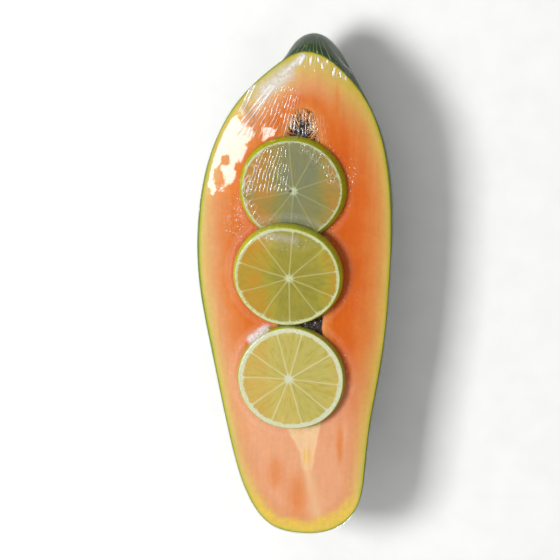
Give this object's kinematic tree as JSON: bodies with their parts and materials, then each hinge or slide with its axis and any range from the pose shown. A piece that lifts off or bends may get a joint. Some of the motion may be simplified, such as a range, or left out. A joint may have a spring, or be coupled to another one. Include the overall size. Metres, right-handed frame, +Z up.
{
  "type": "papaya half",
  "caption": "Ripe papaya half, cut lengthwise, with its seeds, lime slices on the cut face and a stretched clear film.",
  "frame": {"origin": "middle of the whole object in plan, on the surface it lies on", "axes": "+Z up, square to the cut face; +Y along the fruit towards its pointed blossom end; +X to the right of the cut face seen from above"},
  "size_m": [0.0992, 0.2554, 0.0615],
  "materials": {
    "papaya_flesh": "satin",
    "papaya_rind": "satin",
    "papaya_seed": "gloss",
    "lime_pulp": "gloss",
    "clear_film": "gloss"
  },
  "bodies": {
    "root": {"papaya_half": "papaya_flesh", "seed_cluster": "papaya_seed", "lime_slice_1": "lime_pulp", "lime_slice_2": "lime_pulp", "lime_slice_3": "lime_pulp", "cling_film": "clear_film"}
  },
  "joints": []
}
